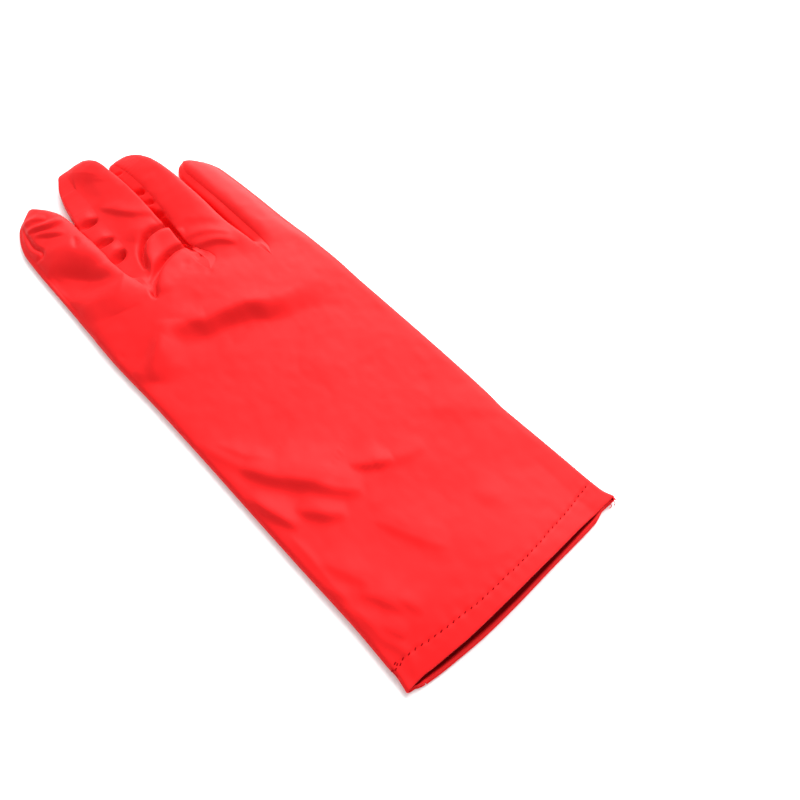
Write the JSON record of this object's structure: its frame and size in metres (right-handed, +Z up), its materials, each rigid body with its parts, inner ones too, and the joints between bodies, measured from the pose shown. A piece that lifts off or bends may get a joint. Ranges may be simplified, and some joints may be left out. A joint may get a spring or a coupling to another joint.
{
  "type": "evening glove",
  "caption": "Satin dress glove of wrist to mid-forearm length, lying flat with the back of the hand up, its thumb tucked under the palm and its cuff open.",
  "frame": {"origin": "on the surface that the glove lies on, under the middle of the glove's box", "axes": "+Y from the cuff to the fingertips, +X from the index side to the little finger side, +Z up from the palm to the back of the hand"},
  "size_m": [0.083, 0.2404, 0.0096],
  "materials": {
    "satin": "bright red stretch satin, soft low sheen",
    "hem": "the same satin turned in, slightly duller"
  },
  "bodies": {
    "root": {"back_panel": "satin", "palm_panel": "satin", "thumb": "satin", "fourchette_index_middle": "satin", "fourchette_middle_ring": "satin", "fourchette_ring_little": "satin", "hem_back": "hem", "hem_palm": "hem"}
  },
  "joints": []
}
